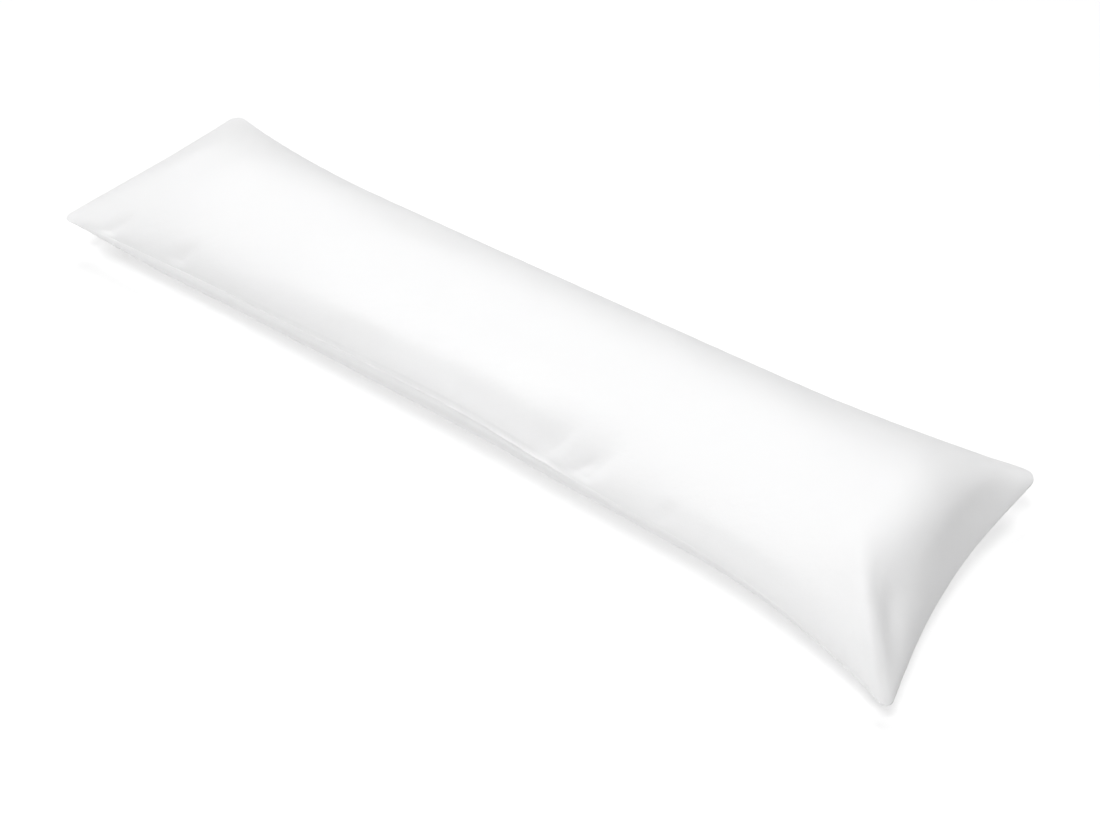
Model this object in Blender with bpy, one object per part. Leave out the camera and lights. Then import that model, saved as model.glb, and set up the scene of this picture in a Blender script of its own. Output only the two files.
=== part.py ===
"""A body pillow lying at rest: one long filled cushion, closed by a seam all the way round.

Metres, +Z up. +X runs along the pillow and -Y is its front long side. The origin is on the
surface that the pillow rests on, under the middle of its bounding box.

Two panels meet at the seam. A point of a panel is named by `u`, which runs from -1 at the far
end to 1 at the near end, and by `turn`, which runs from 0 at the front seam over the crown (or
under the belly) to pi at the back seam.
"""

from collections import namedtuple

import bpy
import numpy as np

# The whole pillow, from seam to seam at its corners.
LENGTH = 1.420
WIDTH = 0.361

# Heights. The crown is SEAM_HEIGHT + CROWN_RISE high at the middle and changes along the pillow
# by a slope and a bow. The belly would sink by BELLY_SINK if the surface didn't flatten it.
SEAM_HEIGHT = 0.0787
CROWN_RISE = 0.0745
CROWN_SLOPE = -0.050
CROWN_BOW = -0.150
BELLY_SINK = 0.020
FLOOR_BLEND = 0.010

# The cross-section: a dome whose sides lean in above the seam and bulge out below it. A small
# power makes a full side. The front side is fullest at FULLEST_AT, a value of u.
BACK_DOME_POWER = 1.22
FRONT_DOME_POWER = 1.01
FRONT_FULLNESS = 0.32
FULLEST_AT = -0.22
FULL_REACH = 0.99
BELLY_POWER = 1.35
SIDE_BULGE = 0.0120
FRONT_BULGE_LOSS = 0.0093
BELLY_BULGE = 0.0030

# Along the pillow. The filling reaches its full height at `side_reach` from the end along the
# seams and at `middle_reach` along the middle. The end seam is drawn in by `draw_in`, and rises
# by `seam_lift`. The sides reach their full draw-in at `draw_reach`. The whole bows a little
# towards the front.
End = namedtuple("End", "side_reach middle_reach draw_in seam_lift draw_reach")
FAR_END = End(side_reach=0.284, middle_reach=0.270, draw_in=0.0410, seam_lift=0.0194, draw_reach=0.439)
NEAR_END = End(side_reach=0.139, middle_reach=0.090, draw_in=0.0201, seam_lift=-0.0122, draw_reach=0.299)
END_ROUNDING = 1.43
END_DRAW_POWER = 1.31
END_DRAW_FADE = 4
FRONT_DRAW_IN = 0.0262
FRONT_DRAW_GAIN = 0.0058
BACK_DRAW_IN = 0.0501
BOW = -0.0053

# The corners stand off the surface by `height` and are rounded to `radius` in plan.
Corner = namedtuple("Corner", "height radius")
FAR_FRONT = Corner(height=0.0606, radius=0.022)
FAR_BACK = Corner(height=0.0655, radius=0.029)
NEAR_BACK = Corner(height=0.0526, radius=0.024)
NEAR_FRONT = Corner(height=0.0214, radius=0.0185)

# How the front seam rides above or below SEAM_HEIGHT, at stations of u.
SeamStation = namedtuple("SeamStation", "u lift")
FRONT_SEAM = (
    SeamStation(-1.00, 0.0),
    SeamStation(-0.74, -0.0085),
    SeamStation(-0.42, -0.0040),
    SeamStation(-0.10, 0.0066),
    SeamStation(0.15, 0.0119),
    SeamStation(0.42, -0.0010),
    SeamStation(0.62, -0.0055),
    SeamStation(0.82, -0.0020),
    SeamStation(1.00, 0.0),
)

# The main folds of the upper panel, in panel coordinates: metres along from the middle, metres
# across from the front seam. Each runs `length` from its start at `heading` degrees, where 0 is
# along and 90 is away from the front seam. Its crest has its own width on either hand, and
# `rise` is below zero for a trough. The folds fade out over FOLD_SIDE_FADE from the side seams
# and over FOLD_END_FADE from the end seams.
PANEL_WIDTH = 0.340
FOLD_SIDE_FADE = 0.012
FOLD_END_FADE = 0.035
Fold = namedtuple("Fold", "along across heading length left right rise")
FOLDS = {
    "front shoulder, far": Fold(-0.335, 0.054, 2, 0.600, 0.050, 0.027, 0.0084),
    "front shoulder, middle": Fold(0.012, 0.078, -2, 0.340, 0.050, 0.030, 0.0094),
    "front shoulder, near": Fold(0.356, 0.050, 1, 0.300, 0.045, 0.018, 0.0026),
    "gather, far trough": Fold(0.233, -0.022, 66, 0.114, 0.028, 0.011, -0.0050),
    "gather, near trough": Fold(0.293, -0.020, 67, 0.116, 0.031, 0.012, -0.0056),
    "gather shoulder": Fold(0.150, 0.092, 3, 0.210, 0.022, 0.022, 0.0024),
    "middle notch": Fold(-0.010, 0.090, -3, 0.090, 0.014, 0.014, 0.0012),
    "dimple past the gather": Fold(0.410, -0.008, 80, 0.060, 0.010, 0.009, -0.0024),
    "far corner trough": Fold(-0.628, -0.022, 47, 0.112, 0.014, 0.013, -0.0042),
    "far side trough": Fold(-0.472, -0.022, 42, 0.110, 0.014, 0.013, -0.0044),
    "near corner ridge": Fold(0.602, 0.130, -47, 0.170, 0.013, 0.011, 0.0052),
    "near corner hollow": Fold(0.638, 0.134, -34, 0.141, 0.046, 0.024, -0.0098),
    "near end shoulder": Fold(0.678, 0.080, 90, 0.196, 0.036, 0.017, 0.0056),
    "far end shoulder": Fold(-0.586, 0.077, 85, 0.180, 0.038, 0.040, 0.0042),
    "back shoulder, near": Fold(0.330, 0.214, -9, 0.360, 0.039, 0.040, 0.0018),
    "back hollow, far": Fold(-0.300, 0.221, 3, 0.364, 0.039, 0.040, -0.0036),
}

# The belly lies flat inside the triangle of these three places, x and y, and eases off the
# surface around it by REST_SLOPE, up to REST_EASE. So the pillow always bears on three places.
REST_PLACES = ((-0.46, -0.06), (0.60, -0.065), (0.05, 0.055))
REST_SLOPE = 0.02
REST_EASE = 0.0010
REST_FADE = 0.020

# The mesh: cells along and across each panel, and where along the pillow they crowd together.
CELLS_ALONG = 88
CELLS_ACROSS = 24
SPACING_STEPS = 2000
Zone = namedtuple("Zone", "u spread density")
FINE_ZONES = (Zone(-1.0, 0.10, 2.4), Zone(0.40, 0.10, 0.9), Zone(1.0, 0.13, 3.2))

COVER_WHITE = (0.90, 0.90, 0.89, 1.0)
COVER_ROUGHNESS = 0.85


def quarter_circle(distance, reach):
    """Rises from 0 at the edge to 1 at `reach`, upright at the edge and level at the end."""
    left = 1 - np.clip(distance / reach, 0, 1)
    return np.sqrt(1 - left**2)


def smooth_step(distance, reach):
    """Rises from 0 to 1 over `reach`, level at both ends."""
    share = np.clip(distance / reach, 0, 1)
    return share * share * (3 - 2 * share)


def flattened(height, blend):
    """The height where it is above `blend`, 0 where it is below -blend, and a parabola between."""
    rolled = (height + blend) ** 2 / (4 * blend)
    return np.where(height < -blend, 0, np.where(height > blend, height, rolled))


def through_stations(u, stations):
    """A smooth curve through the stations: a cubic between each two, with shared slopes."""
    at = np.array([station.u for station in stations])
    lift = np.array([station.lift for station in stations])
    slope = np.gradient(lift, at)
    first = np.clip(np.searchsorted(at, u) - 1, 0, len(at) - 2)
    span = at[first + 1] - at[first]
    t = (u - at[first]) / span
    return (
        (2 * t**3 - 3 * t**2 + 1) * lift[first]
        + (t**3 - 2 * t**2 + t) * span * slope[first]
        + (3 * t**2 - 2 * t**3) * lift[first + 1]
        + (t**3 - t**2) * span * slope[first + 1]
    )


def by_end(u, name):
    return np.where(u > 0, getattr(NEAR_END, name), getattr(FAR_END, name))


def seam_height(u, across, ramp, ends):
    """Height of the seam line, carried across the pillow: the corners' heights at the ends, and
    the front seam's stations where the sides have drawn in."""
    share = (across + 1) / 2
    near = NEAR_FRONT.height + (NEAR_BACK.height - NEAR_FRONT.height) * share
    far = FAR_FRONT.height + (FAR_BACK.height - FAR_FRONT.height) * share
    corners = np.where(u > 0, near, far)
    sides = SEAM_HEIGHT + through_stations(u, FRONT_SEAM) * (1 - share) ** 2
    return corners + (sides - corners) * ramp + by_end(u, "seam_lift") * ends * (1 - ramp)


def panel(u, turn, side):
    """Points of the upper panel (side 1) or the lower one (side -1), before folds.

    Across, a point lies at -cos(turn) of the half width, which the sides' draw-in narrows away
    from the corners. Its height leaves the seam by the fill's rise times sin(turn) to a power,
    times a quarter circle in from the ends, to a power. The upper panel's power is smaller at
    the front, most of all near the middle, which makes that side the fuller one."""
    across = -np.cos(turn)
    middle = np.clip(1 - across**2, 0, 1)
    front_share = (1 - across) / 2
    from_end = (1 - np.abs(u)) * LENGTH / 2
    reach = by_end(u, "side_reach") * (1 - middle) + by_end(u, "middle_reach") * middle
    fill = quarter_circle(from_end, reach)
    ramp = 1 - (1 - np.clip(from_end / by_end(u, "draw_reach"), 0, 1)) ** 2
    ends = middle**END_DRAW_POWER

    pull = by_end(u, "draw_in") * ends * (1 - from_end / (LENGTH / 2)) ** END_DRAW_FADE
    x = u * LENGTH / 2 - np.sign(u) * pull

    drawn = np.where(across < 0, FRONT_DRAW_IN + FRONT_DRAW_GAIN * u, BACK_DRAW_IN)
    half_width = WIDTH / 2 - drawn * ramp
    bulge = SIDE_BULGE - FRONT_BULGE_LOSS * u * front_share
    if side < 0:
        bulge = -bulge - BELLY_BULGE
    y = half_width * across + bulge * fill * np.sin(2 * turn) + BOW * (1 - u**2)

    seam = seam_height(u, across, ramp, ends)
    rise = np.maximum(np.sin(turn), 0)
    if side > 0:
        fullness = np.clip(1 - ((u - FULLEST_AT) / FULL_REACH) ** 2, 0, 1) ** 2
        front_power = FRONT_DOME_POWER - FRONT_FULLNESS * fullness
        power = BACK_DOME_POWER + (front_power - BACK_DOME_POWER) * front_share
        crown = SEAM_HEIGHT + CROWN_RISE * (1 + CROWN_SLOPE * u + CROWN_BOW * u**2)
        z = seam + (crown - seam) * fill**END_ROUNDING * rise**power
    else:
        z = seam - (seam + BELLY_SINK) * fill**END_ROUNDING * rise**BELLY_POWER
        z = flattened(z, FLOOR_BLEND)
    return np.stack([x, y, z], axis=-1)


def round_corners(points):
    """Maps the square at each corner, of side `radius`, onto a quarter disc, in plan."""
    x, y = points[..., 0].copy(), points[..., 1].copy()
    corners = {(-1, -1): FAR_FRONT, (-1, 1): FAR_BACK, (1, 1): NEAR_BACK, (1, -1): NEAR_FRONT}
    for (along, over), corner in corners.items():
        radius = corner.radius
        centre = np.array([along * (LENGTH / 2 - radius), over * (WIDTH / 2 - radius)])
        p = (x - centre[0]) * along
        q = (y - centre[1]) * over
        inside = (p > 0) & (q > 0)
        p_round = p * np.sqrt(np.maximum(1 - q**2 / (2 * radius**2), 0))
        q_round = q * np.sqrt(np.maximum(1 - p**2 / (2 * radius**2), 0))
        x = np.where(inside, centre[0] + along * p_round, x)
        y = np.where(inside, centre[1] + over * q_round, y)
    return np.stack([x, y, points[..., 2]], axis=-1)


def normals(points):
    """Unit normals of a grid of points, from the steps to each point's neighbours."""
    crossed = np.cross(np.gradient(points, axis=0), np.gradient(points, axis=1))
    return crossed / np.maximum(np.linalg.norm(crossed, axis=-1, keepdims=True), 1e-12)


def fold_rise(u, turn):
    """How far the folds lift the upper panel: each is a bell across its crest, and swells and
    dies away along it. All of them die away at the seam."""
    along = u * LENGTH / 2
    across = turn / np.pi * PANEL_WIDTH
    total = np.zeros_like(u)
    for fold in FOLDS.values():
        heading = np.radians(fold.heading)
        east, north = along - fold.along, across - fold.across
        forward = (east * np.cos(heading) + north * np.sin(heading)) / fold.length
        leftward = -east * np.sin(heading) + north * np.cos(heading)
        width = np.where(leftward > 0, fold.left, fold.right)
        swell = np.sin(np.pi * np.clip(forward, 0, 1)) ** 2
        total += fold.rise * swell * np.exp(-((leftward / width) ** 2))
    to_side = np.minimum(across, PANEL_WIDTH - across)
    to_end = (1 - np.abs(u)) * LENGTH / 2
    fade = smooth_step(to_side, FOLD_SIDE_FADE) * smooth_step(to_end, FOLD_END_FADE)
    return total * fade


def eased_off(lower):
    """Lifts the belly a little outside the triangle of its resting places. Each place is the
    grid point nearest to it that lies on the surface. The lift fades out as the belly rises."""
    plan = lower[..., :2]
    lies = lower[..., 2] == 0
    corners = []
    for place in REST_PLACES:
        away = np.where(lies, np.linalg.norm(plan - place, axis=-1), np.inf)
        corners.append(plan[np.unravel_index(away.argmin(), away.shape)])
    outside = np.zeros(lies.shape)
    for start, end in zip(corners, corners[1:] + corners[:1]):
        edge = (end - start) / np.linalg.norm(end - start)
        east, north = plan[..., 0] - start[0], plan[..., 1] - start[1]
        outside = np.maximum(outside, east * edge[1] - north * edge[0])
    lift = np.minimum(REST_SLOPE * outside, REST_EASE)
    lift *= np.clip(1 - lower[..., 2] / REST_FADE, 0, 1)
    return lower + lift[..., None] * (0, 0, 1)


def rows_along():
    """Values of u whose spacing shrinks inside each fine zone."""
    fine = np.linspace(-1, 1, SPACING_STEPS + 1)
    density = np.ones_like(fine)
    for zone in FINE_ZONES:
        density += zone.density * np.exp(-(((fine - zone.u) / zone.spread) ** 2))
    travelled = np.concatenate([[0], np.cumsum((density[1:] + density[:-1]) / 2)])
    wanted = np.linspace(0, travelled[-1], CELLS_ALONG + 1)
    return np.interp(wanted, travelled, fine)


def pillow_grids():
    """The upper and lower panels as grids of points that share their rim."""
    turns = np.linspace(0, np.pi, CELLS_ACROSS + 1)
    u, turn = np.meshgrid(rows_along(), turns, indexing="ij")
    upper = round_corners(panel(u, turn, 1))
    upper = upper + normals(upper) * fold_rise(u, turn)[..., None]
    lower = eased_off(round_corners(panel(u, turn, -1)))
    return upper, lower


def quads(index):
    """Faces of a grid of vertex numbers, wound to face up where u and turn run along X and Y."""
    corners = index[:-1, :-1], index[1:, :-1], index[1:, 1:], index[:-1, 1:]
    return np.stack(corners, axis=-1).reshape(-1, 4)


def pillow_mesh():
    """One closed mesh: both panels, sewn along their shared rim, over the origin."""
    upper, lower = pillow_grids()
    rows, columns = upper.shape[:2]
    top = np.arange(rows * columns).reshape(rows, columns)
    bottom = top.copy()
    inner = (rows - 2) * (columns - 2)
    bottom[1:-1, 1:-1] = rows * columns + np.arange(inner).reshape(rows - 2, columns - 2)
    points = np.concatenate([upper.reshape(-1, 3), lower[1:-1, 1:-1].reshape(-1, 3)])
    middle = (points.min(axis=0) + points.max(axis=0)) / 2
    points[:, :2] -= middle[:2]
    faces = np.concatenate([quads(top), quads(bottom)[:, ::-1]])
    mesh = bpy.data.meshes.new("pillow")
    mesh.from_pydata(points.tolist(), [], faces.tolist())
    mesh.shade_smooth()
    mesh.validate()
    return mesh


def cover_material():
    """Smooth white cotton."""
    material = bpy.data.materials.new("cover_cloth")
    material.use_nodes = True
    shader = material.node_tree.nodes["Principled BSDF"]
    shader.inputs["Base Color"].default_value = COVER_WHITE
    shader.inputs["Roughness"].default_value = COVER_ROUGHNESS
    shader.inputs["Metallic"].default_value = 0.0
    return material


def clear_scene():
    for old in list(bpy.data.objects):
        bpy.data.objects.remove(old, do_unlink=True)


def main():
    clear_scene()
    pillow = bpy.data.objects.new("pillow", pillow_mesh())
    pillow.data.materials.append(cover_material())
    bpy.context.scene.collection.objects.link(pillow)


main()
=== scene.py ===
"""Looks of a body pillow: its filled cotton cover, the stitches of its seam and a plain studio.

The file is laid out as a Blender add-on and run as a script. Metres, +Z up. +X runs along the
pillow and -Y is its front long side. The pillow's two panels meet at a seam all the way round.
A point of a panel is named by `u`, which runs from -1 at the far end to 1 at the near end, and
by `turn`, which runs from 0 at the front seam over the crown (or under the belly) to pi at the
back seam. Panel coordinates are metres along from the middle and metres across from the front
seam.
"""

from collections import namedtuple

import bpy
import numpy as np
from bpy.props import FloatProperty, FloatVectorProperty, PointerProperty
from mathutils import Matrix, Vector


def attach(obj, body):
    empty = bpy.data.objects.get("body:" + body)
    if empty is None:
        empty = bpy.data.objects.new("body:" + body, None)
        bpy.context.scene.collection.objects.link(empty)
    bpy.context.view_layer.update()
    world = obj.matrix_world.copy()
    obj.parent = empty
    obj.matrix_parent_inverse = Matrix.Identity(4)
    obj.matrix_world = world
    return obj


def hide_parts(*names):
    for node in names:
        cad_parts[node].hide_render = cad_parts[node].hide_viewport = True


bl_info = {
    "name": "Body pillow",
    "version": (1, 0, 0),
    "blender": (4, 5, 0),
    "location": "View3D > Sidebar > Body pillow",
    "description": "Builds a filled body pillow in white cotton, its seam and a plain studio",
    "category": "Object",
}

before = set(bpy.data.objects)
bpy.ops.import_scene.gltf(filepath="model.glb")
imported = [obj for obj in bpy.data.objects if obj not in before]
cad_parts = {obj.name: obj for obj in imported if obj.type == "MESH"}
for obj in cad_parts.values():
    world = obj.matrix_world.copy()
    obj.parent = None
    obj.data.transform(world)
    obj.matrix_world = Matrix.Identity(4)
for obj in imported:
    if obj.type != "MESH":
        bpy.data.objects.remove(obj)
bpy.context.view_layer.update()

BODY = "root"
NODE = "pillow"

# ----------------------------------------------------------------------------------------
# The pillow's form, which the solid has too
# ----------------------------------------------------------------------------------------

CROWN_SLOPE = -0.050
CROWN_BOW = -0.150
BACK_DOME_POWER = 1.22
FRONT_DOME_POWER = 1.01
FRONT_FULLNESS = 0.32
FULLEST_AT = -0.22
FULL_REACH = 0.99
BELLY_POWER = 1.35
FRONT_BULGE_LOSS = 0.0093
BELLY_BULGE = 0.0030
FLOOR_BLEND = 0.010

# How each end is drawn in. The filling reaches its full height at `side_reach` from the end
# along the seams and at `middle_reach` along the middle.
End = namedtuple("End", "side_reach middle_reach draw_in seam_lift draw_reach")
FAR_END = End(
    side_reach=0.284, middle_reach=0.270, draw_in=0.0410, seam_lift=0.0194, draw_reach=0.439
)
NEAR_END = End(
    side_reach=0.139, middle_reach=0.090, draw_in=0.0201, seam_lift=-0.0122, draw_reach=0.299
)
END_ROUNDING = 1.43
END_DRAW_POWER = 1.31
END_DRAW_FADE = 4
FRONT_DRAW_IN = 0.0262
FRONT_DRAW_GAIN = 0.0058
BACK_DRAW_IN = 0.0501
BOW = -0.0053

Corner = namedtuple("Corner", "height radius")
FAR_FRONT = Corner(height=0.0606, radius=0.022)
FAR_BACK = Corner(height=0.0655, radius=0.029)
NEAR_BACK = Corner(height=0.0526, radius=0.024)
NEAR_FRONT = Corner(height=0.0214, radius=0.0185)

SeamStation = namedtuple("SeamStation", "u value")
FRONT_SEAM = (
    SeamStation(-1.00, 0.0),
    SeamStation(-0.74, -0.0085),
    SeamStation(-0.42, -0.0040),
    SeamStation(-0.10, 0.0066),
    SeamStation(0.15, 0.0119),
    SeamStation(0.42, -0.0010),
    SeamStation(0.62, -0.0055),
    SeamStation(0.82, -0.0020),
    SeamStation(1.00, 0.0),
)

# Folds of the upper panel, in panel coordinates. Each runs `length` from its start at `heading`
# degrees, where 0 is along and 90 is away from the front seam. Its crest has its own width on
# either hand, and `rise` is below zero for a trough. The folds fade out over FOLD_SIDE_FADE from
# the side seams and over FOLD_END_FADE from the end seams.
PANEL_WIDTH = 0.340
FOLD_SIDE_FADE = 0.012
FOLD_END_FADE = 0.035
Fold = namedtuple("Fold", "along across heading length left right rise")
FOLDS = {
    "front shoulder, far": Fold(-0.335, 0.054, 2, 0.600, 0.050, 0.027, 0.0084),
    "front shoulder, middle": Fold(0.012, 0.078, -2, 0.340, 0.050, 0.030, 0.0094),
    "front shoulder, near": Fold(0.356, 0.050, 1, 0.300, 0.045, 0.018, 0.0026),
    "gather, far trough": Fold(0.233, -0.022, 66, 0.114, 0.028, 0.011, -0.0050),
    "gather, near trough": Fold(0.293, -0.020, 67, 0.116, 0.031, 0.012, -0.0056),
    "gather shoulder": Fold(0.150, 0.092, 3, 0.210, 0.022, 0.022, 0.0024),
    "middle notch": Fold(-0.010, 0.090, -3, 0.090, 0.014, 0.014, 0.0012),
    "dimple past the gather": Fold(0.410, -0.008, 80, 0.060, 0.010, 0.009, -0.0024),
    "far corner trough": Fold(-0.628, -0.022, 47, 0.112, 0.014, 0.013, -0.0042),
    "far side trough": Fold(-0.472, -0.022, 42, 0.110, 0.014, 0.013, -0.0044),
    "near corner ridge": Fold(0.602, 0.130, -47, 0.170, 0.013, 0.011, 0.0052),
    "near corner hollow": Fold(0.638, 0.134, -34, 0.141, 0.046, 0.024, -0.0098),
    "near end shoulder": Fold(0.678, 0.080, 90, 0.196, 0.036, 0.017, 0.0056),
    "far end shoulder": Fold(-0.586, 0.077, 85, 0.180, 0.038, 0.040, 0.0042),
    "back shoulder, near": Fold(0.330, 0.214, -9, 0.360, 0.039, 0.040, 0.0018),
    "back hollow, far": Fold(-0.300, 0.221, 3, 0.364, 0.039, 0.040, -0.0036),
}

# ----------------------------------------------------------------------------------------
# What sewing adds
# ----------------------------------------------------------------------------------------

# The groove behind the seam, the slit between the panels' folded edges, and the puckers, which
# are longer away from the seam than along it.
GROOVE_FROM_SEAM = 0.0050
GROOVE_WIDTH = 0.0030
SLIT_WIDTH = 0.0005
PUCKER_REACH = 0.018
PUCKER_WAVE = 0.034
PUCKER_STRETCH = 3
PUCKER_SEED = 20

# The filling's unevenness.
LUMP_WAVE = 0.140
LUMP_SEED = 5

# Finer creases, which only the cover's own mesh can show.
CREASES = {
    "gather crease": Fold(0.278, -0.011, 58, 0.075, 0.007, 0.006, -0.0032),
    "near corner crest": Fold(0.650, 0.098, -44, 0.104, 0.019, 0.007, 0.0030),
}

# How proud the front seam stands, at stations of u, as a share of the seam's full relief: its
# middle stretch, where the filling went in, was sewn shut from outside. The other seams stand
# by PLAIN_SEAM.
PLAIN_SEAM = 0.30
SEAM_SHOWS = (
    SeamStation(-1.00, 0.30),
    SeamStation(-0.45, 0.28),
    SeamStation(-0.15, 0.70),
    SeamStation(0.20, 1.10),
    SeamStation(0.38, 1.10),
    SeamStation(0.43, 0.08),
    SeamStation(1.00, 0.08),
)

# The stitches that closed it run between these values of u. Each is a tube of STITCH_RINGS
# rings with STITCH_SIDES sides, and its crest rises STITCH_CREST thread radii from its ends. The
# ends are caps at STITCH_TIP of its length, and a small STITCH_BLUNTNESS makes them blunt.
SEWN = (-0.33, 0.41)
STITCH_RINGS = 7
STITCH_SIDES = 6
STITCH_CREST = 1.6
STITCH_TIP = 0.02
STITCH_BLUNTNESS = 0.4

# The mesh: cells of each panel, and where they crowd together, in u and in turn.
CELLS_ALONG = 380
CELLS_ACROSS = 112
SPACING_STEPS = 8000
Zone = namedtuple("Zone", "at spread density")
ZONES_ALONG = (Zone(-1.0, 0.022, 5.0), Zone(0.41, 0.05, 1.4), Zone(1.0, 0.022, 6.0))
ZONES_ACROSS = (
    Zone(0.0, 0.025, 14.0),
    Zone(0.0, 0.25, 1.5),
    Zone(np.pi, 0.25, 1.5),
    Zone(np.pi, 0.025, 14.0),
)

# The cloth simulation: its coarse mesh, its steps, how far it starts inside the form, how far
# a point may move, how near the seam and the surface the moves fade out, and over how many of
# its cells they are smoothed.
CLOTH_ALONG = 180
CLOTH_ACROSS = 44
CLOTH_ZONES = (Zone(-1.0, 0.05, 1.5), Zone(1.0, 0.05, 1.5))
CLOTH_STEPS = 20
CLOTH_SLACK = 0.002
CLOTH_CAP = 0.003
CLOTH_RIM = 0.025
CLOTH_BLUR = 2.2
CLOTH_SETTINGS = {
    "quality": 6,
    "mass": 0.25,
    "air_damping": 3.0,
    "tension_stiffness": 20,
    "compression_stiffness": 10,
    "shear_stiffness": 8,
    "bending_stiffness": 0.3,
    "tension_damping": 10,
    "compression_damping": 10,
    "shear_damping": 10,
    "bending_damping": 1.0,
    "use_pressure": True,
    "shrink_min": -0.02,
    "pin_stiffness": 1.0,
}


def quarter_circle(distance, reach):
    """Rises from 0 at the edge to 1 at `reach`, upright at the edge and level at the end."""
    left = 1 - np.clip(distance / reach, 0, 1)
    return np.sqrt(1 - left**2)


def smooth_step(distance, reach):
    """Rises from 0 to 1 over `reach`, level at both ends: 3 t squared less 2 t cubed."""
    share = np.clip(distance / reach, 0, 1)
    return share * share * (3 - 2 * share)


def bell(distance, width):
    """1 at the middle, falling to either side as e to the minus square of distance / width."""
    return np.exp(-((distance / width) ** 2))


def flattened(height, blend):
    """The height where it is above `blend`, 0 where it is below -blend, and a parabola between."""
    rolled = (height + blend) ** 2 / (4 * blend)
    return np.where(height < -blend, 0, np.where(height > blend, height, rolled))


def through_stations(u, stations):
    """A smooth curve through the stations: a cubic between each two, with shared slopes."""
    at = np.array([station.u for station in stations])
    value = np.array([station.value for station in stations])
    slope = np.gradient(value, at)
    first = np.clip(np.searchsorted(at, u) - 1, 0, len(at) - 2)
    span = at[first + 1] - at[first]
    t = (u - at[first]) / span
    return (
        (2 * t**3 - 3 * t**2 + 1) * value[first]
        + (t**3 - 2 * t**2 + t) * span * slope[first]
        + (3 * t**2 - 2 * t**3) * value[first + 1]
        + (t**3 - t**2) * span * slope[first + 1]
    )


def by_end(u, name):
    """That size of the end which u is nearer to."""
    return np.where(u > 0, getattr(NEAR_END, name), getattr(FAR_END, name))


def seam_height(shape, u, across, ramp, ends):
    """Height of the seam line, carried across the pillow: the corners' heights at the ends, and
    the front seam's stations where the sides have drawn in."""
    share = (across + 1) / 2
    near = NEAR_FRONT.height + (NEAR_BACK.height - NEAR_FRONT.height) * share
    far = FAR_FRONT.height + (FAR_BACK.height - FAR_FRONT.height) * share
    corners = np.where(u > 0, near, far)
    sides = shape.seam_height + through_stations(u, FRONT_SEAM) * (1 - share) ** 2
    return corners + (sides - corners) * ramp + by_end(u, "seam_lift") * ends * (1 - ramp)


def panel(shape, u, turn, side):
    """Points of the upper panel (side 1) or the lower one (side -1), before folds.

    Across, a point lies at -cos(turn) of the half width, which the sides' draw-in narrows away
    from the corners. Its height leaves the seam by the fill's rise times sin(turn) to a power,
    times a quarter circle in from the ends, to a power. The upper panel's power is smaller at
    the front, most of all near the middle, which makes that side the fuller one."""
    across = -np.cos(turn)
    middle = np.clip(1 - across**2, 0, 1)
    front_share = (1 - across) / 2
    half_length = shape.length / 2
    from_end = (1 - np.abs(u)) * half_length
    reach = by_end(u, "side_reach") * (1 - middle) + by_end(u, "middle_reach") * middle
    fill = quarter_circle(from_end, reach)
    ramp = 1 - (1 - np.clip(from_end / by_end(u, "draw_reach"), 0, 1)) ** 2
    ends = middle**END_DRAW_POWER

    pull = by_end(u, "draw_in") * ends * (1 - from_end / half_length) ** END_DRAW_FADE
    x = u * half_length - np.sign(u) * pull

    drawn = np.where(across < 0, FRONT_DRAW_IN + FRONT_DRAW_GAIN * u, BACK_DRAW_IN)
    half_width = shape.width / 2 - drawn * ramp
    bulge = shape.side_bulge - FRONT_BULGE_LOSS * u * front_share
    if side < 0:
        bulge = -bulge - BELLY_BULGE
    y = half_width * across + bulge * fill * np.sin(2 * turn) + BOW * (1 - u**2)

    seam = seam_height(shape, u, across, ramp, ends)
    rise = np.maximum(np.sin(turn), 0)
    if side > 0:
        fullness = np.clip(1 - ((u - FULLEST_AT) / FULL_REACH) ** 2, 0, 1) ** 2
        front_power = FRONT_DOME_POWER - FRONT_FULLNESS * fullness
        power = BACK_DOME_POWER + (front_power - BACK_DOME_POWER) * front_share
        crown = shape.seam_height + shape.crown_rise * (1 + CROWN_SLOPE * u + CROWN_BOW * u**2)
        z = seam + (crown - seam) * fill**END_ROUNDING * rise**power
    else:
        z = seam - (seam + shape.belly_sink) * fill**END_ROUNDING * rise**BELLY_POWER
        z = flattened(z, FLOOR_BLEND)
    return np.stack([x, y, z], axis=-1)


def round_corners(shape, points):
    """Maps the square at each corner, of side `radius`, onto a quarter disc, in plan: each
    coordinate shrinks by the root of 1 less half the other's square."""
    x, y = points[..., 0].copy(), points[..., 1].copy()
    corners = {(-1, -1): FAR_FRONT, (-1, 1): FAR_BACK, (1, 1): NEAR_BACK, (1, -1): NEAR_FRONT}
    for (along, over), corner in corners.items():
        radius = corner.radius
        middle_x = along * (shape.length / 2 - radius)
        middle_y = over * (shape.width / 2 - radius)
        p = (x - middle_x) * along
        q = (y - middle_y) * over
        inside = (p > 0) & (q > 0)
        p_round = p * np.sqrt(np.maximum(1 - q**2 / (2 * radius**2), 0))
        q_round = q * np.sqrt(np.maximum(1 - p**2 / (2 * radius**2), 0))
        x = np.where(inside, middle_x + along * p_round, x)
        y = np.where(inside, middle_y + over * q_round, y)
    return np.stack([x, y, points[..., 2]], axis=-1)


def grid_normals(points):
    """Unit normals of a grid of points, from the steps to each point's neighbours."""
    crossed = np.cross(np.gradient(points, axis=0), np.gradient(points, axis=1))
    return crossed / np.maximum(np.linalg.norm(crossed, axis=-1, keepdims=True), 1e-12)


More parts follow.
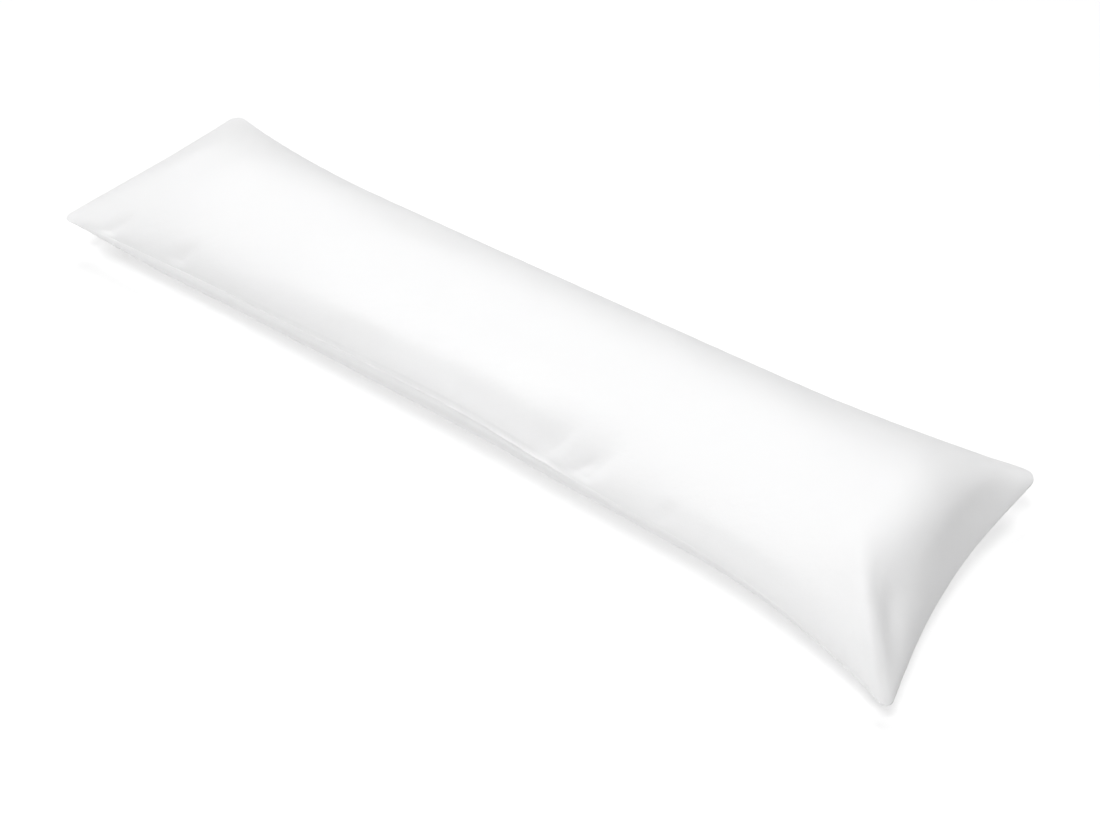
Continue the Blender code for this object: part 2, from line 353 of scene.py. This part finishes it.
def fold_rise(shape, u, turn, folds):
    """How far the folds lift the upper panel: each is a bell across its crest, and swells and
    dies away along it as a sine squared. All of them die away at the seam."""
    along = u * shape.length / 2
    across = turn / np.pi * PANEL_WIDTH
    total = np.zeros_like(u)
    for fold in folds.values():
        heading = np.radians(fold.heading)
        east, north = along - fold.along, across - fold.across
        forward = (east * np.cos(heading) + north * np.sin(heading)) / fold.length
        leftward = -east * np.sin(heading) + north * np.cos(heading)
        width = np.where(leftward > 0, fold.left, fold.right)
        swell = np.sin(np.pi * np.clip(forward, 0, 1)) ** 2
        total += fold.rise * swell * bell(leftward, width)
    to_side = np.minimum(across, PANEL_WIDTH - across)
    to_end = (1 - np.abs(u)) * shape.length / 2
    return total * smooth_step(to_side, FOLD_SIDE_FADE) * smooth_step(to_end, FOLD_END_FADE)


def spaced(low, high, cells, zones):
    """Values from low to high whose spacing shrinks inside each zone: equal shares of the
    running sum of 1 plus a bell for each zone."""
    fine = np.linspace(low, high, SPACING_STEPS + 1)
    density = 1 + sum(zone.density * bell(fine - zone.at, zone.spread) for zone in zones)
    travelled = np.concatenate([[0], np.cumsum((density[1:] + density[:-1]) / 2)])
    return np.interp(np.linspace(0, travelled[-1], cells + 1), travelled, fine)


def waves(x, y, length, seed, count=14):
    """Smooth unevenness of height about 1: plane waves of about that length, whose directions
    and phases come from the seed."""
    random = np.random.default_rng(seed)
    heading = random.uniform(0, np.pi, count)
    phase = random.uniform(0, 2 * np.pi, count)
    reach = length * random.uniform(0.7, 1.5, count)
    total = np.zeros_like(x)
    for h, p, r in zip(heading, phase, reach):
        total += np.sin(2 * np.pi * (x * np.cos(h) + y * np.sin(h)) / r + p)
    return total / np.sqrt(count)


# ----------------------------------------------------------------------------------------
# Meshes
# ----------------------------------------------------------------------------------------


def quads(index):
    """Faces of a grid of vertex numbers, wound to face up where u and turn run along X and Y."""
    corners = index[:-1, :-1], index[1:, :-1], index[1:, 1:], index[:-1, 1:]
    return np.stack(corners, axis=-1).reshape(-1, 4)


class Closed:
    """Numbers the vertices of two grids that share their rim, and joins and parts them."""

    def __init__(self, rows, columns):
        self.size = rows, columns
        self.top = np.arange(rows * columns).reshape(rows, columns)
        self.bottom = self.top.copy()
        inner = np.arange((rows - 2) * (columns - 2)) + rows * columns
        self.bottom[1:-1, 1:-1] = inner.reshape(rows - 2, columns - 2)
        self.faces = np.concatenate([quads(self.top), quads(self.bottom)[:, ::-1]])

    def joined(self, upper, lower):
        """Values of the two grids as one list, the shared rim's from the upper one."""
        width = upper.shape[-1] if upper.ndim == 3 else 1
        flat = [upper.reshape(-1, width), lower[1:-1, 1:-1].reshape(-1, width)]
        return np.concatenate(flat)

    def parted(self, values):
        """The upper and the lower grid of such a list."""
        return values[self.top], values[self.bottom]


def vertex_normals(points, faces):
    """Unit normals of a closed mesh of quads: each face's diagonals crossed, summed at its
    corners."""
    a, b, c, d = (points[faces[:, k]] for k in range(4))
    crossed = np.cross(c - a, d - b)
    total = np.zeros_like(points)
    for k in range(4):
        np.add.at(total, faces[:, k], crossed)
    return total / np.maximum(np.linalg.norm(total, axis=1, keepdims=True), 1e-12)


def steps_from(points, axis):
    """Distance walked on a grid of points from the first line along that axis."""
    step = np.linalg.norm(np.diff(points, axis=axis), axis=-1)
    start = np.zeros_like(np.take(step, [0], axis=axis))
    return np.concatenate([start, np.cumsum(step, axis=axis)], axis=axis)


def walked_along(line):
    """Distance walked along a line of points."""
    return steps_from(line[:, None], 0)[:, 0]


def from_seam(points):
    """Distance on a panel from its rim: the least of those from its four sides, blended."""
    walks = []
    for axis in (0, 1):
        walk = steps_from(points, axis)
        walks += [walk, np.take(walk, [-1], axis=axis) - walk]
    softness = 4
    nearest = sum((walk + 1e-6) ** -softness for walk in walks)
    return nearest ** (-1 / softness)


def new_object(name, points, faces):
    """A smooth mesh object at the origin."""
    mesh = bpy.data.meshes.new(name)
    mesh.from_pydata(points.tolist(), [], faces.tolist())
    mesh.validate()
    mesh.shade_smooth()
    obj = bpy.data.objects.new(name, mesh)
    bpy.context.scene.collection.objects.link(obj)
    return obj


def add_attribute(obj, name, values):
    """Gives each point of a mesh a vector for its material to read."""
    attribute = obj.data.attributes.new(name, "FLOAT_VECTOR", "POINT")
    attribute.data.foreach_set("vector", values.astype(np.float32).ravel())


def finish_piece(obj, material):
    """Gives a piece its material and its body."""
    obj.data.materials.append(material)
    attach(obj, BODY)


def cover_grids(shape, u, turn):
    """The upper and lower panels, folds included, over the middle of their box."""
    upper = round_corners(shape, panel(shape, u, turn, 1))
    upper = upper + grid_normals(upper) * fold_rise(shape, u, turn, FOLDS | CREASES)[..., None]
    lower = round_corners(shape, panel(shape, u, turn, -1))
    both = np.concatenate([upper.reshape(-1, 3), lower.reshape(-1, 3)])
    middle = (both.min(axis=0) + both.max(axis=0)) / 2 * (1, 1, 0)
    return upper - middle, lower - middle


def seam_strength(u, turn):
    """Share of the seam's full relief: the front's stations up to mid-panel, then the plain
    seam's share."""
    front = smooth_step(np.pi / 2 - turn, np.pi / 8)
    shown = np.maximum(through_stations(u, SEAM_SHOWS), 0)
    return PLAIN_SEAM + (shown - PLAIN_SEAM) * front


def seam_relief(seam, distance):
    """Height that the turned-in seam gives a panel, by distance from the rim: a rounded lip
    with a fine slit between the two panels, and a groove behind it."""
    lip = seam.lip_height * bell(distance, seam.lip_width)
    slit = seam.slit_depth * bell(distance, SLIT_WIDTH)
    groove = seam.groove_depth * bell(distance - GROOVE_FROM_SEAM, GROOVE_WIDTH)
    return lip - slit - groove


def spline_weights(wanted, given, blur):
    """A matrix that carries values at the given places to the wanted ones: cubic B-spline
    weights of the distance counted in places and divided by the blur, each row scaled to a sum
    of 1."""
    place = np.interp(wanted, given, np.arange(len(given)))
    away = np.abs(place[:, None] - np.arange(len(given))) / blur
    near = (4 - 6 * away**2 + 3 * away**3) / 6
    far = np.maximum(2 - away, 0) ** 3 / 6
    weights = np.where(away < 1, near, far)
    return weights / weights.sum(axis=1, keepdims=True)


def settled_moves(shape, u, turn):
    """How the cloth settles over its filling, at those values of u and turn, for each panel.

    A coarse cover is simulated as cloth under the filling's pressure, with every point held
    softly to its place. The moves are capped, and fade out at the seam and at the surface that
    the pillow rests on."""
    coarse_u = spaced(-1, 1, CLOTH_ALONG, CLOTH_ZONES)
    coarse_turn = np.linspace(0, np.pi, CLOTH_ACROSS + 1)
    grids = cover_grids(shape, *np.meshgrid(coarse_u, coarse_turn, indexing="ij"))
    closed = Closed(len(coarse_u), len(coarse_turn))
    points = closed.joined(*grids)
    start = points - vertex_normals(points, closed.faces) * CLOTH_SLACK
    trial = new_object("cloth_trial", start, closed.faces)
    hold = trial.vertex_groups.new(name="hold")
    hold.add(list(range(len(start))), shape.hold, "REPLACE")
    modifier = trial.modifiers.new("Cloth", "CLOTH")
    modifier.collision_settings.use_collision = False
    modifier.point_cache.frame_start = 1
    modifier.point_cache.frame_end = CLOTH_STEPS
    settings = modifier.settings
    for name, value in CLOTH_SETTINGS.items():
        setattr(settings, name, value)
    settings.uniform_pressure_force = shape.pressure
    settings.vertex_group_mass = "hold"
    settings.effector_weights.gravity = 0
    for step in range(1, CLOTH_STEPS + 1):
        bpy.context.scene.frame_set(step)
    settled = trial.evaluated_get(bpy.context.evaluated_depsgraph_get())
    found = np.empty(len(start) * 3, dtype=np.float32)
    settled.data.vertices.foreach_get("co", found)
    bpy.context.scene.frame_set(1)
    bpy.data.objects.remove(trial, do_unlink=True)

    moves = found.reshape(-1, 3) - start
    moves -= vertex_normals(points, closed.faces) * CLOTH_SLACK
    length = np.linalg.norm(moves, axis=1, keepdims=True)
    moves *= np.minimum(1, CLOTH_CAP / np.maximum(length, 1e-9))
    along = spline_weights(u, coarse_u, CLOTH_BLUR)
    across = spline_weights(turn, coarse_turn, CLOTH_BLUR)
    fine = []
    for grid, move in zip(grids, closed.parted(moves)):
        fade = smooth_step(from_seam(grid), CLOTH_RIM) * smooth_step(grid[..., 2], CLOTH_RIM)
        fine.append(np.einsum("ai,ijk,bj->abk", along, move * fade[..., None], across))
    return fine


def cover_mesh(shape, seam):
    """Points, faces and panel coordinates of the finished cover. Along its normals it is raised
    by the seam's relief, by the filling's lumps away from the seam and by puckers, which die
    away from the seam as e to the minus distance / PUCKER_REACH. No point lies under the
    surface."""
    rows = spaced(-1, 1, CELLS_ALONG, ZONES_ALONG)
    columns = spaced(0, np.pi, CELLS_ACROSS, ZONES_ACROSS)
    u, turn = np.meshgrid(rows, columns, indexing="ij")
    grids = cover_grids(shape, u, turn)
    moves = settled_moves(shape, rows, columns)
    grids = [grid + move for grid, move in zip(grids, moves)]
    closed = Closed(*u.shape)
    points = closed.joined(*grids)
    normals = vertex_normals(points, closed.faces)
    strength = seam_strength(u, turn)

    relief, coordinates = [], []
    for side, grid in zip((1, -1), grids):
        distance = from_seam(grid)
        along = steps_from(grid, 0)
        along = along - along[-1:] / 2
        across = steps_from(grid, 1)
        lumps = waves(along, across, LUMP_WAVE, seed=LUMP_SEED + side)
        puckers = waves(along, across / PUCKER_STRETCH, PUCKER_WAVE, seed=PUCKER_SEED + side)
        rise = seam_relief(seam, distance) * strength
        rise += shape.lump_height * lumps * smooth_step(distance, LUMP_WAVE / 2)
        rise += seam.pucker_height * puckers * np.exp(-distance / PUCKER_REACH) * np.sqrt(strength)
        relief.append(rise)
        coordinates.append(np.stack([along, across, np.full_like(along, side)], axis=-1))
    points = points + normals * closed.joined(*relief)
    points[:, 2] = np.maximum(points[:, 2], 0)
    return points, closed, closed.joined(*coordinates)


def sewing_line(panel_points, panel_normals, inset):
    """Places and normals along the front seam, at that distance from the rim on one panel."""
    across = steps_from(panel_points, 1)
    row = np.arange(len(across))
    column = np.argmax(across > inset, axis=1)
    past, before = across[row, column], across[row, column - 1]
    share = ((inset - before) / (past - before))[:, None]
    lines = [grid[row, column - 1] * (1 - share) + grid[row, column] * share
             for grid in (panel_points, panel_normals)]
    return lines


def stitch_mesh(line, normals, starts, seam):
    """One closed grain of thread at each start along the line, its ends sunk in the cloth.

    A grain is a tube about the line: its radius grows as sin(pi f) to a small power and its
    middle rises as sin(pi f), where f goes from one end to the other."""
    walked = walked_along(line)
    f = np.linspace(STITCH_TIP, 1 - STITCH_TIP, STITCH_RINGS)
    at = starts[:, None] + f * seam.stitch_length
    centre, normal = (
        np.stack([np.interp(at, walked, values[:, axis]) for axis in range(3)], axis=-1)
        for values in (line, normals)
    )
    onward = centre[:, -1:] - centre[:, :1]
    onward = onward / np.linalg.norm(onward, axis=-1, keepdims=True)
    normal = normal - (normal * onward).sum(axis=-1, keepdims=True) * onward
    normal = normal / np.linalg.norm(normal, axis=-1, keepdims=True)
    sideways = np.cross(np.broadcast_to(onward, normal.shape), normal)
    swell = np.sin(np.pi * f)
    radius = seam.thread_radius * swell**STITCH_BLUNTNESS
    lift = seam.thread_radius * (STITCH_CREST * swell - 1)
    angle = np.arange(STITCH_SIDES) * 2 * np.pi / STITCH_SIDES
    ring = (
        np.cos(angle)[:, None] * normal[:, :, None] + np.sin(angle)[:, None] * sideways[:, :, None]
    )
    points = (centre + lift[:, None] * normal)[:, :, None] + radius[:, None, None] * ring

    index = np.arange(points[..., 0].size).reshape(points.shape[:3])
    turned = np.roll(index, -1, axis=2)
    walls = [index[:, :-1], turned[:, :-1], turned[:, 1:], index[:, 1:]]
    first, last = index[:, 0], index[:, -1]
    first_caps = [first[:, [0, 3, 2, 1]], first[:, [0, 5, 4, 3]]]
    last_caps = [last[:, [0, 1, 2, 3]], last[:, [0, 3, 4, 5]]]
    faces = [np.stack(walls, axis=-1).reshape(-1, 4), *first_caps, *last_caps]
    return points.reshape(-1, 3), np.concatenate(faces)


# ----------------------------------------------------------------------------------------
# Shader maths
# ----------------------------------------------------------------------------------------


class Wire:
    """A shader socket that can be added, subtracted and multiplied."""

    def __init__(self, nodes, socket):
        self.nodes = nodes
        self.socket = socket

    def maths(self, operation, *values):
        """A Math node of that operation."""
        return self.nodes.make("ShaderNodeMath", {"operation": operation}, values)

    def __add__(self, other):
        return self.maths("ADD", self, other)

    def __sub__(self, other):
        return self.maths("SUBTRACT", self, other)

    def __rsub__(self, other):
        return self.maths("SUBTRACT", other, self)

    def __mul__(self, other):
        return self.maths("MULTIPLY", self, other)

    __radd__ = __add__
    __rmul__ = __mul__

    def sine(self):
        return self.maths("SINE", self)


class Nodes:
    """Makes the nodes of one material."""

    def __init__(self, name):
        self.material = bpy.data.materials.new(name)
        self.material.use_nodes = True
        self.tree = self.material.node_tree
        self.shader = self.tree.nodes["Principled BSDF"]

    def make(self, kind, settings, values, output=0):
        """A node of that kind: its settings first, then its sockets' values or links, given as
        a sequence in their order or a dict by name. Returns the wire from that output."""
        node = self.tree.nodes.new(kind)
        for name, value in settings.items():
            setattr(node, name, value)
        pairs = values.items() if isinstance(values, dict) else enumerate(values)
        for key, value in pairs:
            self.feed(node.inputs[key], value)
        return Wire(self, node.outputs[output])

    def feed(self, socket, value):
        """Links a wire to the socket, or sets the socket to a plain value."""
        if isinstance(value, Wire):
            self.tree.links.new(value.socket, socket)
        else:
            socket.default_value = value

    def surface(self, **values):
        """Feeds the shader's sockets, named with _ for a space, and returns the material."""
        for name, value in values.items():
            self.feed(self.shader.inputs[name.replace("_", " ")], value)
        return self.material


# The cotton's noises, each a scale per metre and a detail, and how matt it is.
SLUB_NOISE = (900.0, 2.0)
CRINKLE_NOISE = (70.0, 3.0)
TONE_NOISE = (9.0, 4.0)
ROUGHNESS_CHANGE = 0.1
SHEEN_ROUGHNESS = 0.5
COTTON_SPECULAR = 0.25

# The thread's twist, and how matt it is.
TWIST_SCALE = 1500.0
TWIST_HEIGHT = 0.0002
THREAD_ROUGHNESS = 0.55


def cotton(cover):
    """White cotton: a plain weave in panel coordinates, slubs in its threads, a soft crinkle
    and a faint unevenness of colour."""
    nodes = Nodes("white_cotton")
    place = nodes.make("ShaderNodeAttribute", {"attribute_name": "panel"}, (), "Vector")
    axes = [nodes.make("ShaderNodeSeparateXYZ", {}, (place,), k) for k in range(2)]
    turns_per_metre = 2 * np.pi / cover.thread_pair
    weave = (axes[0] * turns_per_metre).sine() * (axes[1] * turns_per_metre).sine()
    slubs, crinkle, tone = (
        nodes.make("ShaderNodeTexNoise", {}, {"Vector": place, "Scale": scale, "Detail": detail})
        for scale, detail in (SLUB_NOISE, CRINKLE_NOISE, TONE_NOISE)
    )
    height = weave * cover.weave_height + slubs * cover.slub_height + crinkle * cover.crinkle_height
    normal = nodes.make("ShaderNodeBump", {}, {"Height": height, "Distance": 1.0}, "Normal")
    white, shade = (*cover.white, 1.0), (*cover.shade, 1.0)
    colour = nodes.make(
        "ShaderNodeMix", {"data_type": "RGBA"}, {"Factor": tone, 6: white, 7: shade}, 2
    )
    return nodes.surface(
        Base_Color=colour,
        Roughness=cover.roughness + (crinkle - 0.5) * ROUGHNESS_CHANGE,
        Normal=normal,
        Sheen_Weight=cover.sheen,
        Sheen_Roughness=SHEEN_ROUGHNESS,
        Specular_IOR_Level=COTTON_SPECULAR,
    )


def thread_material(cover):
    """White sewing thread: twisted, a little glossier than the cloth."""
    nodes = Nodes("sewing_thread")
    place = nodes.make("ShaderNodeTexCoord", {}, (), "Object")
    twist = nodes.make("ShaderNodeTexNoise", {}, {"Vector": place, "Scale": TWIST_SCALE})
    bump = {"Height": twist, "Distance": TWIST_HEIGHT}
    normal = nodes.make("ShaderNodeBump", {}, bump, "Normal")
    white, shade = (*cover.white, 1.0), (*cover.shade, 1.0)
    colour = nodes.make(
        "ShaderNodeMix", {"data_type": "RGBA"}, {"Factor": twist, 6: white, 7: shade}, 2
    )
    roughness = THREAD_ROUGHNESS + twist * ROUGHNESS_CHANGE
    return nodes.surface(Base_Color=colour, Roughness=roughness, Normal=normal)


# ----------------------------------------------------------------------------------------
# Settings
# ----------------------------------------------------------------------------------------


def length_property(name, description, default):
    """A length in metres, shown to a tenth of a millimetre."""
    return FloatProperty(
        name=name, description=description, default=default, precision=4, subtype="DISTANCE"
    )


class PillowShape(bpy.types.PropertyGroup):
    """Sizes of the filled cover, and how its cloth settles"""

    length: length_property("Length", "Corner to corner along the pillow", 1.420)
    width: length_property("Width", "Corner to corner across the pillow", 0.361)
    seam_height: length_property("Seam height", "Of the seam above the surface", 0.0787)
    crown_rise: length_property("Crown rise", "Of the crown above the seam", 0.0745)
    belly_sink: length_property("Belly sink", "How much of the belly the surface flattens", 0.020)
    side_bulge: length_property("Side bulge", "How far the sides lean past the seam", 0.0120)
    lump_height: length_property("Lump height", "Unevenness of the filling", 0.0006)
    fill: FloatProperty(name="Fill", description="From slack to tight", default=0.8, min=0, max=1)
    pressure: FloatProperty(name="Pressure", description="Of the filling on the cloth", default=4)
    hold: FloatProperty(
        name="Hold", description="How firmly the filling holds the cloth", default=0.4, min=0, max=1
    )


class PillowSeam(bpy.types.PropertyGroup):
    """Sizes of the seam and its stitches"""

    lip_height: length_property("Lip height", "How far the turned seam stands out", 0.0012)
    lip_width: length_property("Lip width", "Half width of the turned seam", 0.0015)
    slit_depth: length_property("Slit depth", "Between the two panels' folded edges", 0.0005)
    groove_depth: length_property("Groove depth", "Of the groove behind the seam", 0.0006)
    pucker_height: length_property("Pucker height", "Of the ripples along the seam", 0.0004)
    stitch_pitch: length_property("Stitch pitch", "From one stitch to the next", 0.0030)
    stitch_length: length_property("Stitch length", "Of the thread that shows", 0.0022)
    stitch_inset: length_property("Stitch inset", "From the panels' edge", 0.0018)
    thread_radius: length_property("Thread radius", "Of the sewing thread", 0.00025)


class PillowCover(bpy.types.PropertyGroup):
    """Colour and relief of the cotton"""

    white: FloatVectorProperty(
        name="White", description="Cotton colour", default=(0.9, 0.9, 0.9), subtype="COLOR"
    )
    shade: FloatVectorProperty(
        name="Shade", description="Its uneven tone", default=(0.88, 0.88, 0.885), subtype="COLOR"
    )
    roughness: FloatProperty(name="Roughness", description="Of the cotton", default=0.85)
    sheen: FloatProperty(name="Sheen", description="Of the cotton's fibres", default=0.1)
    thread_pair: length_property("Thread pair", "Width of two threads of the weave", 0.0009)
    weave_height: length_property("Weave height", "Relief of the weave", 0.00004)
    slub_height: length_property("Slub height", "Relief of uneven threads", 0.00006)
    crinkle_height: length_property("Crinkle height", "Relief of the soft crinkle", 0.0004)


class PillowStudio(bpy.types.PropertyGroup):
    """The floor, the backdrop and the lamps"""

    floor_white: FloatVectorProperty(
        name="Floor", description="Floor colour", default=(0.60, 0.60, 0.60), subtype="COLOR"
    )
    glow: FloatProperty(name="Glow", description="Light that the floor gives off", default=0.42)
    backdrop: FloatProperty(name="Backdrop", description="How pale the backdrop is", default=0.68)
    power: FloatProperty(name="Power", description="Of all the lamps", default=480, unit="POWER")


# ----------------------------------------------------------------------------------------
# Operators
# ----------------------------------------------------------------------------------------


class OBJECT_OT_pillow_cover(bpy.types.Operator):
    """Builds the filled cotton cover as one closed mesh"""

    bl_idname = "object.pillow_cover"
    bl_label = "Pillow cover"

    def execute(self, context):
        scene = context.scene
        points, closed, coordinates = cover_mesh(scene.pillow_shape, scene.pillow_seam)
        cover = new_object("pillow_cover", points, closed.faces)
        add_attribute(cover, "panel", coordinates)
        finish_piece(cover, cotton(scene.pillow_cover))
        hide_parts(NODE)
        return {"FINISHED"}


class OBJECT_OT_pillow_stitches(bpy.types.Operator):
    """Sews the line of stitches that closed the cover once it was filled"""

    bl_idname = "object.pillow_stitches"
    bl_label = "Closing stitches"

    def execute(self, context):
        scene = context.scene
        seam = scene.pillow_seam
        cover = bpy.data.objects["pillow_cover"].data
        points, normals = np.empty((2, len(cover.vertices) * 3), dtype=np.float32)
        cover.vertices.foreach_get("co", points)
        cover.vertices.foreach_get("normal", normals)
        rows = spaced(-1, 1, CELLS_ALONG, ZONES_ALONG)
        closed = Closed(len(rows), CELLS_ACROSS + 1)
        panels = zip(closed.parted(points.reshape(-1, 3)), closed.parted(normals.reshape(-1, 3)))
        made, faces, count = [], [], 0
        for panel_points, panel_normals in panels:
            line, line_normals = sewing_line(panel_points, panel_normals, seam.stitch_inset)
            first, last = np.interp(SEWN, rows, walked_along(line))
            starts = np.arange(first, last, seam.stitch_pitch)
            stitches, quads = stitch_mesh(line, line_normals, starts, seam)
            made.append(stitches)
            faces.append(quads + count)
            count += len(stitches)
        thread = new_object("closing_stitches", np.concatenate(made), np.concatenate(faces))
        finish_piece(thread, thread_material(scene.pillow_cover))
        return {"FINISHED"}


class OBJECT_OT_pillow_stage(bpy.types.Operator):
    """Builds the floor, the backdrop, the lights and the camera"""

    bl_idname = "object.pillow_stage"
    bl_label = "Studio"

    def execute(self, context):
        studio = context.scene.pillow_studio
        build_floor(studio)
        build_backdrop(studio)
        build_lights(context.scene, studio)
        build_camera(context.scene)
        return {"FINISHED"}


# ----------------------------------------------------------------------------------------
# Studio
# ----------------------------------------------------------------------------------------

FLOOR_RADIUS = 6.5
FLOOR_SIDES = 96
FLOOR_GAP = 0.0005
FLOOR_ROUGHNESS = 0.9
FLOOR_GRAIN = 0.05
FLOOR_GRAIN_SCALE = 3.0

# The backdrop's faces, whose corners are counted with x slowest and z fastest.
BACKDROP_SIZE = 40.0
BOX_FACES = np.array(
    [[0, 1, 3, 2], [4, 6, 7, 5], [0, 4, 5, 1], [2, 3, 7, 6], [0, 2, 6, 4], [1, 5, 7, 3]]
)

# Each lamp is a disc of `size` that shines on the pillow from `azimuth` degrees round from the
# front and `elevation` degrees up, with its share of the studio's power.
Light = namedtuple("Light", "azimuth elevation distance size share")
LIGHTS = {
    "near_front": Light(azimuth=45, elevation=55, distance=6.0, size=2.6, share=0.244),
    "top_front": Light(azimuth=0, elevation=75, distance=6.0, size=2.6, share=0.317),
    "far_back": Light(azimuth=-135, elevation=55, distance=6.0, size=2.6, share=0.267),
    "back": Light(azimuth=180, elevation=55, distance=6.0, size=2.6, share=0.085),
    "low_front": Light(azimuth=0, elevation=35, distance=6.0, size=2.6, share=0.087),
}

# The camera looks at AIM from `azimuth` degrees round from the front and `elevation` degrees
# up, and is turned by `roll` degrees about its line of sight.
Camera = namedtuple("Camera", "azimuth elevation roll distance lens")
CAMERA = Camera(azimuth=42.39, elevation=44.52, roll=-4.98, distance=1.410, lens=37.52)
AIM = Vector((0.1967, -0.0782, 0.070))


def direction(azimuth, elevation):
    """Unit vector from the pillow towards a place that far round and up."""
    a, e = np.radians(azimuth), np.radians(elevation)
    return Vector((np.sin(a) * np.cos(e), -np.cos(a) * np.cos(e), np.sin(e)))


def build_floor(studio):
    """A flat disc under the pillow: its rim goes round by the angle at one radius."""
    angle = np.arange(FLOOR_SIDES) * 2 * np.pi / FLOOR_SIDES
    rim = np.stack([np.cos(angle), np.sin(angle)], axis=-1) * FLOOR_RADIUS
    points = np.column_stack([rim, np.full(FLOOR_SIDES, -FLOOR_GAP)])
    floor = new_object("studio_floor", points, np.arange(FLOOR_SIDES)[None])
    nodes = Nodes("pale_floor")
    place = nodes.make("ShaderNodeTexCoord", {}, (), "Object")
    grain = nodes.make("ShaderNodeTexNoise", {}, {"Vector": place, "Scale": FLOOR_GRAIN_SCALE})
    floor.data.materials.append(
        nodes.surface(
            Base_Color=(*studio.floor_white, 1.0),
            Roughness=FLOOR_ROUGHNESS + grain * FLOOR_GRAIN,
            Emission_Color=(1.0, 1.0, 1.0, 1.0),
            Emission_Strength=studio.glow,
        )
    )


def build_backdrop(studio):
    """A plain box round the studio in one pale tone. Only the camera sees it, so it adds no
    light."""
    corners = np.stack(np.meshgrid([-1, 1], [-1, 1], [-1, 1], indexing="ij"), -1).reshape(-1, 3)
    backdrop = new_object("studio_backdrop", corners * BACKDROP_SIZE / 2, BOX_FACES)
    material = Nodes("pale_backdrop").surface(
        Base_Color=(0.0, 0.0, 0.0, 1.0),
        Specular_IOR_Level=0.0,
        Emission_Color=(1.0, 1.0, 1.0, 1.0),
        Emission_Strength=studio.backdrop,
    )
    material.cycles.emission_sampling = "NONE"
    backdrop.data.materials.append(material)
    backdrop.visible_diffuse = False
    backdrop.visible_glossy = False
    backdrop.visible_transmission = False
    backdrop.visible_shadow = False


def build_lights(scene, studio):
    """The lamps, in a world that gives no light of its own."""
    scene.world = bpy.data.worlds.new("dark_world")
    scene.world.color = (0.0, 0.0, 0.0)
    for name, light in LIGHTS.items():
        data = bpy.data.lights.new(name, "AREA")
        data.energy = studio.power * light.share
        data.shape = "DISK"
        data.size = light.size
        lamp = bpy.data.objects.new(name, data)
        back = direction(light.azimuth, light.elevation)
        lamp.location = back * light.distance
        lamp.rotation_mode = "QUATERNION"
        lamp.rotation_quaternion = (-back).to_track_quat("-Z", "Y")
        scene.collection.objects.link(lamp)


def build_camera(scene):
    """The camera, placed by its angles and distance from AIM."""
    data = bpy.data.cameras.new("studio_camera")
    data.lens = CAMERA.lens
    camera = bpy.data.objects.new("studio_camera", data)
    back = direction(CAMERA.azimuth, CAMERA.elevation)
    right = (-back).cross(Vector((0, 0, 1))).normalized()
    level = Matrix((right, right.cross(-back), back)).transposed()
    roll = Matrix.Rotation(np.radians(CAMERA.roll), 3, "Z")
    camera.matrix_world = Matrix.Translation(AIM + back * CAMERA.distance) @ (level @ roll).to_4x4()
    scene.collection.objects.link(camera)
    scene.camera = camera
    scene.view_settings.view_transform = "Standard"


class VIEW3D_PT_body_pillow(bpy.types.Panel):
    """Lists the operators, each with its settings"""

    bl_label = "Body pillow"
    bl_idname = "VIEW3D_PT_body_pillow"
    bl_space_type = "VIEW_3D"
    bl_region_type = "UI"
    bl_category = "Body pillow"

    def draw(self, context):
        for operator, groups in PANEL_ROWS:
            self.layout.operator(operator.bl_idname)
            for group in groups:
                settings = getattr(context.scene, group)
                for name in settings.__annotations__:
                    self.layout.prop(settings, name)


GROUPS = {
    "pillow_shape": PillowShape,
    "pillow_seam": PillowSeam,
    "pillow_cover": PillowCover,
    "pillow_studio": PillowStudio,
}
OPERATORS = (OBJECT_OT_pillow_cover, OBJECT_OT_pillow_stitches, OBJECT_OT_pillow_stage)
PANEL_ROWS = (
    (OBJECT_OT_pillow_cover, ("pillow_shape", "pillow_cover")),
    (OBJECT_OT_pillow_stitches, ("pillow_seam",)),
    (OBJECT_OT_pillow_stage, ("pillow_studio",)),
)


def register():
    """Adds the classes, and one group of settings each to the scene."""
    for cls in (*GROUPS.values(), *OPERATORS, VIEW3D_PT_body_pillow):
        bpy.utils.register_class(cls)
    for name, group in GROUPS.items():
        setattr(bpy.types.Scene, name, PointerProperty(type=group))


def unregister():
    """Takes them away again."""
    for name in GROUPS:
        delattr(bpy.types.Scene, name)
    for cls in reversed((*GROUPS.values(), *OPERATORS, VIEW3D_PT_body_pillow)):
        bpy.utils.unregister_class(cls)


def main():
    """Builds the pieces and the studio."""
    register()
    bpy.ops.object.pillow_cover()
    bpy.ops.object.pillow_stitches()
    bpy.ops.object.pillow_stage()


if __name__ == "__main__":
    main()
